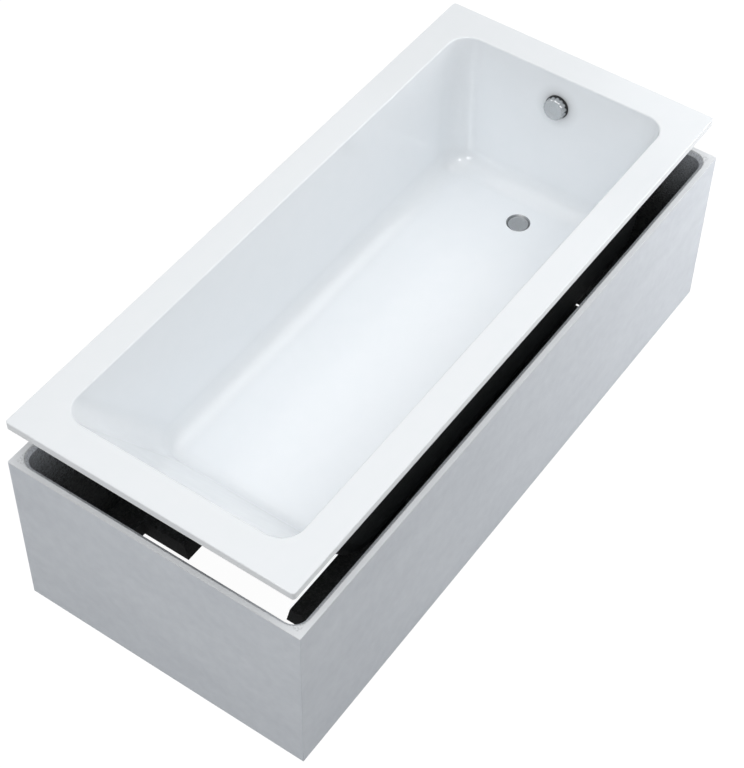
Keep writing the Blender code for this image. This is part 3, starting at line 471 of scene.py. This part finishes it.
# Close round what stands on it, as behind the turning knob, the sheet loses light and goes darker.
shade = add_node(
    tree, "ShaderNodeAmbientOcclusion", {"Distance": shade_reach}, {"Color": acrylic_colour.outputs[2]},
)
shaded_colour = add_node(
    tree, "ShaderNodeMix", {"data_type": "RGBA", "Factor": shade_share},
    {6: acrylic_colour.outputs[2], 7: shade.outputs["Color"]},
)
gloss = add_node(
    tree, "ShaderNodeMapRange", {"To Min": 0.09, "To Max": 0.15}, {"Value": wave.outputs["Fac"]},
)
wave_bump = add_node(
    tree, "ShaderNodeBump", {"Strength": 0.05, "Distance": acrylic_wave_depth},
    {"Height": wave.outputs["Fac"]},
)
shader.inputs["IOR"].default_value = acrylic_ior
tree.links.new(shaded_colour.outputs[2], shader.inputs["Base Color"])
tree.links.new(gloss.outputs[0], shader.inputs["Roughness"])
tree.links.new(wave_bump.outputs["Normal"], shader.inputs["Normal"])


def stand_for(piece, material, body, slot, *nodes):
    """Gives a new piece its material and body, in the place of CAD nodes. Its slot is not used."""
    piece.data.materials.clear()
    piece.data.materials.append(material)
    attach(piece, body)
    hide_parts(*nodes)


stand_for(bath_shell, acrylic, "tub", "white_acrylic", "tub_shell")


# Glass-fibre backing. Polyester resin and chopped glass sprayed on the underside of the sheet, with
# graphite filler: dark, half glossy, and streaked with strands that lie every way.

strand_length = 30 * millimetre
strand_width = 1.5 * millimetre
strand_depth = 0.4 * millimetre
laminate_dark = "#444749"
strand_pale = "#666a6d"

laminate, tree, shader, place = new_finish("sprayed_glass_fibre_laminate", 0.45)
tones = []
for turn in (25, 85, 150):
    laid = add_node(
        tree, "ShaderNodeMapping",
        {
            "Rotation": (radians(turn), radians(turn / 2), radians(turn)),
            "Scale": (strand_width / strand_length, 1, 1),
        },
        {"Vector": place},
    )
    strands = add_node(
        tree, "ShaderNodeTexNoise", {"Scale": 1 / strand_width, "Detail": 1},
        {"Vector": laid.outputs["Vector"]},
    )
    tones.append(strands.outputs["Fac"])
crossed = add_node(tree, "ShaderNodeMath", {"operation": "MAXIMUM"}, {0: tones[0], 1: tones[1]})
crossed = add_node(tree, "ShaderNodeMath", {"operation": "MAXIMUM"}, {0: crossed.outputs[0], 1: tones[2]})
strand_share = add_node(
    tree, "ShaderNodeMapRange", {"From Min": 0.6, "From Max": 0.72}, {"Value": crossed.outputs[0]},
)
laminate_colour = add_node(
    tree, "ShaderNodeMix", {"data_type": "RGBA", 6: linear(laminate_dark), 7: linear(strand_pale)},
    {"Factor": strand_share.outputs[0]},
)
strand_bump = add_node(
    tree, "ShaderNodeBump", {"Strength": 0.5, "Distance": strand_depth},
    {"Height": strand_share.outputs[0]},
)
tree.links.new(laminate_colour.outputs[2], shader.inputs["Base Color"])
tree.links.new(strand_bump.outputs["Normal"], shader.inputs["Normal"])
dress(laminate, "glass_fibre_backing")


# Base board and rim battens. Chipboard bonded under the floor and under the rim, brushed over with
# the same dark resin, so the chips show only as a low relief and as browner patches.

chip_size = 6 * millimetre
chip_depth = 0.4 * millimetre
chip_dark = "#4b3b29"
chip_light = "#8a7150"
resin_patch_size = 40 * millimetre
resin_dark = "#343230"

chipboard, tree, shader, place = new_finish("resin_coated_chipboard", 0.6)
flat = add_node(tree, "ShaderNodeMapping", {"Scale": (0.6, 1, 2)}, {"Vector": place}).outputs["Vector"]
chips = add_node(
    tree, "ShaderNodeTexVoronoi", {"feature": "F1", "Scale": 1 / chip_size}, {"Vector": flat},
)
chip_tone = add_node(tree, "ShaderNodeSeparateColor", (), {"Color": chips.outputs["Color"]})
resin = add_node(
    tree, "ShaderNodeTexNoise", {"Scale": 1 / resin_patch_size, "Detail": 3}, {"Vector": place},
)
resin_share = add_node(
    tree, "ShaderNodeMapRange", {"From Min": 0.35, "From Max": 0.6, "To Min": 0.45},
    {"Value": resin.outputs["Fac"]},
)
wood_colour = add_node(
    tree, "ShaderNodeMix", {"data_type": "RGBA", 6: linear(chip_dark), 7: linear(chip_light)},
    {"Factor": chip_tone.outputs[0]},
)
board_colour = add_node(
    tree, "ShaderNodeMix", {"data_type": "RGBA", 7: linear(resin_dark)},
    {"Factor": resin_share.outputs[0], 6: wood_colour.outputs[2]},
)
chip_bump = add_node(
    tree, "ShaderNodeBump", {"Strength": 0.4, "Distance": chip_depth}, {"Height": chip_tone.outputs[1]},
)
tree.links.new(board_colour.outputs[2], shader.inputs["Base Color"])
tree.links.new(chip_bump.outputs["Normal"], shader.inputs["Normal"])
dress(chipboard, "base_board", "rim_batten_left", "rim_batten_right", "rim_batten_head", "rim_batten_foot")


# Turning knob. A cup of zinc alloy with fourteen shallow finger lobes, satin chrome plated. It stands
# off the wall, so that water runs in behind it, and a grub screw holds its hub on the spindle.

knob_radius = 29 * millimetre
knob_lobe_dip = 1.8 * millimetre
knob_lobes = 14
knob_stand_off = 5.4 * millimetre
knob_height = 15.6 * millimetre
knob_flare = 1 * millimetre
knob_edge = 3 * millimetre
knob_lip = 0.4 * millimetre
knob_wall = 3 * millimetre
knob_face_dish = 0.35 * millimetre
knob_face_margin = 4 * millimetre
knob_hub = 7.8 * millimetre
knob_edge_angle = radians(40)
spindle_hole = 4.3 * millimetre
spindle_bite = 10.4 * millimetre


def lobed_loop(radius, dip, height):
    """A loop about the overflow's axis with a dip between each lobe and the next."""
    steps_per_lobe = 16
    count = knob_lobes * steps_per_lobe
    loop = []
    for step in range(count):
        angle = 2 * pi * step / count
        reach = radius - dip * (1 - cos(knob_lobes * angle)) / 2
        loop.append(Vector((reach * cos(angle), reach * sin(angle), height)))
    return loop


knob_low, knob_high = knob_stand_off, knob_stand_off + knob_height
cup_radius = knob_radius - knob_lobe_dip - knob_wall
knob_loops = [
    lobed_loop(spindle_hole, 0, knob_low + spindle_bite),
    lobed_loop(spindle_hole, 0, knob_low),
    lobed_loop(knob_hub, 0, knob_low),
    lobed_loop(knob_hub, 0, knob_high - knob_wall),
    lobed_loop(cup_radius, 0, knob_high - knob_wall),
    lobed_loop(cup_radius, 0, knob_low),
    lobed_loop(knob_radius + knob_flare - knob_lip, knob_lobe_dip, knob_low),
    lobed_loop(knob_radius + knob_flare, knob_lobe_dip, knob_low + knob_lip),
]
for angle in range(0, 91, 15):
    turn = radians(angle)
    drop = knob_edge * (1 - sin(turn))
    inset = knob_edge * (1 - cos(turn))
    knob_loops.append(lobed_loop(knob_radius - inset, knob_lobe_dip, knob_high - drop))
face_radius = knob_radius - knob_face_margin
knob_loops += [
    lobed_loop(face_radius + shading_band / 2, 0, knob_high),
    lobed_loop(face_radius, 0, knob_high),
    lobed_loop(face_radius - 2 * knob_face_dish, 0, knob_high - knob_face_dish),
    lobed_loop(face_radius - 2 * knob_face_dish - shading_band / 2, 0, knob_high - knob_face_dish),
]
turning_knob = skinned("turning_knob", knob_loops, knob_edge_angle)
turning_knob.matrix_world = overflow_frame

turning_line = 0.8 * millimetre
chrome_dark = "#b0b3b5"
chrome_light = "#c0c2c4"
chrome_roughness = (0.18, 0.32)


def satin_plating(name, dark, light, roughness):
    """A plated metal whose tone and roughness vary in rings about its axis, as a brush wheel leaves it."""
    material, tree, shader, place = new_finish(name, sum(roughness) / 2, 1)
    axes = add_node(tree, "ShaderNodeSeparateXYZ", (), {"Vector": place})
    level = add_node(tree, "ShaderNodeCombineXYZ", (), {"X": axes.outputs["X"], "Y": axes.outputs["Y"]})
    from_axis = add_node(tree, "ShaderNodeVectorMath", {"operation": "LENGTH"}, {0: level.outputs[0]})
    lines = add_node(
        tree, "ShaderNodeTexNoise", {"noise_dimensions": "1D", "Scale": 1 / turning_line, "Detail": 3},
        {"W": from_axis.outputs["Value"]},
    )
    colour = add_node(
        tree, "ShaderNodeMix", {"data_type": "RGBA", 6: linear(dark), 7: linear(light)},
        {"Factor": lines.outputs["Fac"]},
    )
    satin = add_node(
        tree, "ShaderNodeMapRange", {"To Min": roughness[0], "To Max": roughness[1]},
        {"Value": lines.outputs["Fac"]},
    )
    tree.links.new(colour.outputs[2], shader.inputs["Base Color"])
    tree.links.new(satin.outputs[0], shader.inputs["Roughness"])
    return material


# The plating is soft grey with the fine turning lines of the brush wheel. The real lines are a tenth
# of a millimetre apart, and they are drawn eight times as coarse, so that they show.
satin_chrome = satin_plating("satin_chrome_plating", chrome_dark, chrome_light, chrome_roughness)
stand_for(turning_knob, satin_chrome, "knob", "satin_metal", "overflow_knob")
dress(satin_chrome, "knob_spindle")


# Waste flange and plug cap. Turned brass, satin nickel plated: a thin ring let into the floor, coned
# inside, with a cross that guides the stem, and a flat cap that lies a little down in it.

flange_radius = 30.8 * millimetre
flange_thickness = 2 * millimetre
flange_edge = 0.4 * millimetre
seat_radius = 27.3 * millimetre
seat_drop = 3.8 * millimetre
seat_depth = 8.5 * millimetre
seat_slope = 1.2 * millimetre
bore_radius = 21.5 * millimetre
tube_radius = 28.2 * millimetre
tube_length = 28 * millimetre
guide_depth = 20 * millimetre
guide_height = 4 * millimetre
guide_half_width = 1.5 * millimetre
guide_hub = 7 * millimetre
stem_hole = 3.8 * millimetre
cap_radius = 26.2 * millimetre
cap_sink = 3 * millimetre
cap_thickness = 3 * millimetre
cap_edge = 0.5 * millimetre
cap_dish = 0.25 * millimetre
cap_margin = 3 * millimetre


def rounded_edge(radius, height, edge):
    """Points of a quarter round on a turned profile, from its side up to its top."""
    centre_radius, centre_height = radius - edge, height - edge
    points = []
    for degree in (0, 22.5, 45, 67.5, 90):
        angle = radians(degree)
        points.append((centre_radius + edge * cos(angle), centre_height + edge * sin(angle)))
    return points


def turned(name, profile):
    """A closed piece from a profile of (radius, height) points turned about Z."""
    steps = 128
    merge_distance = 0.001 * millimetre
    form = bmesh.new()
    corners = [form.verts.new((radius, 0, height)) for radius, height in profile]
    for index, corner in enumerate(corners):
        following = corners[(index + 1) % len(corners)]
        if corner.co.x > 0 or following.co.x > 0:
            form.edges.new((corner, following))
    bmesh.ops.spin(
        form, geom=list(form.verts) + list(form.edges), cent=(0, 0, 0), axis=(0, 0, 1),
        angle=2 * pi, steps=steps, use_merge=True,
    )
    bmesh.ops.remove_doubles(form, verts=form.verts, dist=merge_distance)
    bmesh.ops.recalc_face_normals(form, faces=form.faces)
    mesh = bpy.data.meshes.new(name)
    form.to_mesh(mesh)
    form.free()
    mesh.shade_smooth()
    mesh.set_sharp_from_angle(angle=edge_angle)
    piece = bpy.data.objects.new(name, mesh)
    bpy.context.scene.collection.objects.link(piece)
    return piece


def flat_bar(name, reach_x, reach_y, low, high):
    """A closed level bar about the Z axis."""
    corners = ((reach_x, reach_y), (-reach_x, reach_y), (-reach_x, -reach_y), (reach_x, -reach_y))
    return skinned(name, [[Vector((x, y, height)) for x, y in corners] for height in (low, high)])


# Nickel has the same turning lines as the knob's chrome, and is darker.
nickel_dark = "#989a9c"
nickel_light = "#adafb1"
nickel_roughness = (0.22, 0.38)
satin_nickel = satin_plating("satin_nickel_plating", nickel_dark, nickel_light, nickel_roughness)

flange_profile = [(flange_radius, -flange_thickness)]
flange_profile += rounded_edge(flange_radius, 0, flange_edge)
flange_profile += [
    (seat_radius, -seat_drop),
    (seat_radius, -seat_depth),
    (bore_radius, -seat_depth - seat_slope),
    (bore_radius, -tube_length),
    (tube_radius, -tube_length),
    (tube_radius, -flange_thickness),
]
waste_flange = turned("waste_flange", flange_profile)
guide_low = -guide_depth - guide_height
for tool in (
    flat_bar("guide_bar_along", bore_radius + guide_half_width, guide_half_width, guide_low, -guide_depth),
    flat_bar("guide_bar_across", guide_half_width, bore_radius + guide_half_width, guide_low, -guide_depth),
    round_bar("guide_hub", guide_hub, guide_low, -guide_depth, Matrix.Identity(4), 48),
):
    combine(waste_flange, tool, "UNION")
stem_cutter = round_bar("stem_cutter", stem_hole, guide_low - cutter_reach, 0, Matrix.Identity(4), 32)
combine(waste_flange, stem_cutter, "DIFFERENCE")
waste_flange.matrix_world = waste_frame
stand_for(waste_flange, satin_nickel, "tub", "satin_metal", "drain_flange")

cap_profile = [(0, -cap_sink - cap_thickness), (cap_radius, -cap_sink - cap_thickness)]
cap_profile += rounded_edge(cap_radius, -cap_sink, cap_edge)
cap_profile += [
    (cap_radius - cap_margin, -cap_sink),
    (cap_radius - cap_margin - cap_edge, -cap_sink - cap_dish),
    (cap_radius - cap_margin - 2 * cap_edge, -cap_sink - cap_dish),
    (0, -cap_sink - cap_dish),
]
waste_cap = turned("waste_plug_cap", cap_profile)
waste_cap.matrix_world = waste_frame
stand_for(waste_cap, satin_nickel, "plug", "satin_metal", "plug_cap")
dress(satin_nickel, "plug_stem", "lever_pin", "lift_lever")


# Overflow rosette, waste and overflow bodies, hose nuts and cable sleeve. Black polypropylene from
# spark-eroded moulds: a fine matt grain, drawn a little coarser than it is so that it shows.

mould_grain_size = 1.2 * millimetre
mould_grain_depth = 0.2 * millimetre
moulded_black = "#151516"
moulded_grey_black = "#222325"

black_polypropylene, tree, shader, place = new_finish("black_polypropylene", 0.45)
grain = add_node(
    tree, "ShaderNodeTexNoise", {"Scale": 1 / mould_grain_size, "Detail": 2}, {"Vector": place},
)
tone = add_node(
    tree, "ShaderNodeMix", {"data_type": "RGBA", 6: linear(moulded_black), 7: linear(moulded_grey_black)},
    {"Factor": grain.outputs["Fac"]},
)
grain_bump = add_node(
    tree, "ShaderNodeBump", {"Strength": 0.25, "Distance": mould_grain_depth},
    {"Height": grain.outputs["Fac"]},
)
tree.links.new(tone.outputs[2], shader.inputs["Base Color"])
tree.links.new(grain_bump.outputs["Normal"], shader.inputs["Normal"])
# The rosette's black is partly its own colour and partly painted shade, standing for the dark gap behind the
# knob.
dress(
    black_polypropylene, "overflow_rosette", "overflow_body", "hose_nut_upper", "hose_nut_lower",
    "cable_sleeve", "drain_body",
)


# Overflow hose. Grey soft PVC blown into ribs, with a faint bloom of the plasticiser. Its plain ends
# are held in the two hose nuts.

hose_bloom_size = 12 * millimetre
hose_dark = "#6c6f72"
hose_light = "#7d8083"

blown_pvc, tree, shader, place = new_finish("grey_blown_pvc", 0.4)
bloom = add_node(
    tree, "ShaderNodeTexNoise", {"Scale": 1 / hose_bloom_size, "Detail": 3}, {"Vector": place},
)
tone = add_node(
    tree, "ShaderNodeMix", {"data_type": "RGBA", 6: linear(hose_dark), 7: linear(hose_light)},
    {"Factor": bloom.outputs["Fac"]},
)
tree.links.new(tone.outputs[2], shader.inputs["Base Color"])
dress(blown_pvc, "overflow_hose")


# Trap and outlet. White polypropylene, moulded smooth: a faint waxy tone with soft flow marks. Nuts of
# the same plastic hold the cup under the waste and the elbow in the cup.

flow_mark_size = 18 * millimetre
waxy_grey = "#d4d4cf"
waxy_white = "#dededa"

white_polypropylene, tree, shader, place = new_finish("white_polypropylene", 0.35)
flow = add_node(
    tree, "ShaderNodeTexNoise", {"Scale": 1 / flow_mark_size, "Detail": 2, "Distortion": 1.5},
    {"Vector": place},
)
tone = add_node(
    tree, "ShaderNodeMix", {"data_type": "RGBA", 6: linear(waxy_grey), 7: linear(waxy_white)},
    {"Factor": flow.outputs["Fac"]},
)
tree.links.new(tone.outputs[2], shader.inputs["Base Color"])
dress(white_polypropylene, "trap_cup", "trap_ring_nut", "outlet_nut", "outlet_elbow")


# Gaskets and seals. Black EPDM rubber, cut or moulded: dull, with a dusty bloom. They are pressed
# between the bath and its fittings, under the plug cap and in the outlet's nut.

rubber_bloom_size = 3 * millimetre
rubber_black = "#131313"
rubber_dusty = "#202020"

rubber, tree, shader, place = new_finish("black_epdm_rubber", 0.75)
bloom = add_node(
    tree, "ShaderNodeTexNoise", {"Scale": 1 / rubber_bloom_size, "Detail": 3}, {"Vector": place},
)
tone = add_node(
    tree, "ShaderNodeMix", {"data_type": "RGBA", 6: linear(rubber_black), 7: linear(rubber_dusty)},
    {"Factor": bloom.outputs["Fac"]},
)
tree.links.new(tone.outputs[2], shader.inputs["Base Color"])
dress(rubber, "overflow_gasket", "drain_gasket", "plug_seal", "outlet_seal")


# Studio floor. A plain white sweep under the object, which goes white for the eye and keeps a
# faint shadow of the carrier.

floor_half = 14
floor_drop = 0.5 * millimetre
paper_for_light = "#a0a0a0"
paper_for_eye = "#616161"
paper_glow = 0.97

floor_mesh = bpy.data.meshes.new("studio_floor")
corners = [(-floor_half, -floor_half, 0), (floor_half, -floor_half, 0), (floor_half, floor_half, 0)]
corners.append((-floor_half, floor_half, 0))
floor_mesh.from_pydata(corners, [], [(0, 1, 2, 3)])
floor = bpy.data.objects.new("studio_floor", floor_mesh)
floor.location.z = -floor_drop
bpy.context.scene.collection.objects.link(floor)
floor_paper = bpy.data.materials.new("white_paper_sweep")
floor_paper.use_nodes = True
tree = floor_paper.node_tree
tree.nodes.remove(tree.nodes["Principled BSDF"])
ray = add_node(tree, "ShaderNodeLightPath")
paper_tone = add_node(
    tree, "ShaderNodeMix", {"data_type": "RGBA", 6: linear(paper_for_light), 7: linear(paper_for_eye)},
    {"Factor": ray.outputs["Is Camera Ray"]},
)
paper = add_node(tree, "ShaderNodeBsdfDiffuse", (), {"Color": paper_tone.outputs[2]})
seen = add_node(
    tree, "ShaderNodeMath", {"operation": "MAXIMUM"},
    {0: ray.outputs["Is Camera Ray"], 1: ray.outputs["Is Glossy Ray"]},
)
glow_strength = add_node(
    tree, "ShaderNodeMath", {"operation": "MULTIPLY", 1: paper_glow}, {0: seen.outputs[0]},
)
glow = add_node(tree, "ShaderNodeEmission", {"Color": (1, 1, 1, 1)}, {"Strength": glow_strength.outputs[0]})
both = add_node(tree, "ShaderNodeAddShader", (), {0: paper.outputs[0], 1: glow.outputs[0]})
tree.links.new(both.outputs[0], tree.nodes["Material Output"].inputs["Surface"])
floor_mesh.materials.append(floor_paper)


# Lights. A faint white surround, four softboxes overhead, one each off the foot end and the left side,
# and two low ones that light the carrier's outer faces. Two small lamps shine on the sheet alone, as
# two points of gloss in the basin's far left corner.

world = bpy.data.worlds.new("studio_surround")
bpy.context.scene.world = world
world.use_nodes = True
tree = world.node_tree
ray = add_node(tree, "ShaderNodeLightPath")
seen = add_node(
    tree, "ShaderNodeMath", {"operation": "MAXIMUM"},
    {0: ray.outputs["Is Camera Ray"], 1: ray.outputs["Is Glossy Ray"]},
)
level = add_node(tree, "ShaderNodeMapRange", {"To Min": 0.2, "To Max": 1}, {"Value": seen.outputs[0]})
surround = tree.nodes["Background"]
surround.inputs["Color"].default_value = (1, 1, 1, 1)
tree.links.new(level.outputs[0], surround.inputs["Strength"])


def softbox(name, power, size, position, target):
    """A rectangular area light, its power in watts and its size in metres, that looks at a target point."""
    lamp = bpy.data.lights.new(name, "AREA")
    lamp.shape = "RECTANGLE"
    lamp.size, lamp.size_y = size
    lamp.energy = power
    light = bpy.data.objects.new(name, lamp)
    light.location = position
    away = light.location - Vector(target)
    light.rotation_euler = away.to_track_quat("Z", "Y").to_euler()
    light.visible_camera = False
    bpy.context.scene.collection.objects.link(light)
    return light


softbox("overhead_softbox", 57, (5.5, 4.5), (0.3, 0.0, 3.4), (0.3, 0.0, 0.5))
softbox("head_end_overhead_softbox", 36, (4.0, 3.2), (-2.6, -0.4, 3.4), (-0.2, 0.0, 0.4))
softbox("foot_corner_overhead_softbox", 35.5, (4.0, 3.2), (2.0, -2.0, 3.4), (0.2, 0.0, 0.4))
softbox("head_corner_overhead_softbox", 7.5, (3.0, 2.4), (-1.8, -2.2, 3.4), (0.0, 0.0, 0.4))
softbox("foot_end_softbox", 6.6, (2.0, 1.6), (3.4, 0.0, 2.2), (0.4, 0.0, 0.4))
softbox("left_side_softbox", 4.1, (3.0, 1.6), (0.4, 3.0, 2.2), (0.0, 0.0, 0.4))
softbox("low_foot_corner_softbox", 10.4, (1.0, 0.8), (1.5, -1.6, 0.8), (0.8, -0.4, 0.3))
softbox("low_head_end_softbox", 8.3, (2.0, 1.2), (-3.4, 0.3, 1.0), (-0.8, 0.0, 0.3))
glint_receivers = bpy.data.collections.new("glint_receivers")
glint_receivers.objects.link(bath_shell)
basin_corner = (0.70, 0.24, 0.26)
glint_lamps = (
    softbox("high_glint_lamp", 8.6, (0.5, 0.5), (-1.02, -1.28, 2.19), basin_corner),
    softbox("low_glint_lamp", 10.4, (0.6, 0.5), (-2.03, 0.03, 1.41), basin_corner),
)
for lamp in glint_lamps:
    lamp.visible_diffuse = False
    lamp.light_linking.receiver_collection = glint_receivers


# Camera. Above the head end, at the photograph's viewing angle, with the focal length given in pixels
# of the photograph's frame.

photo_focal_length = 1970.537
photo_height = 768
camera_place = (-2.57004, -1.71106, 3.79186)
camera_tilt, camera_lean, camera_turn = radians(40.5023), radians(-0.6888), radians(-54.961)
sensor_long_side = 36
lens = bpy.data.cameras.new("studio_camera")
lens.sensor_width = sensor_long_side
lens.lens = photo_focal_length * sensor_long_side / photo_height
lens.clip_start = 0.05
lens.clip_end = 60
camera = bpy.data.objects.new("studio_camera", lens)
aim = Euler((camera_tilt, camera_lean, camera_turn))
camera.matrix_world = Matrix.LocRotScale(Vector(camera_place), aim, None)
bpy.context.scene.collection.objects.link(camera)
bpy.context.scene.camera = camera
bpy.context.scene.view_settings.view_transform = "Standard"
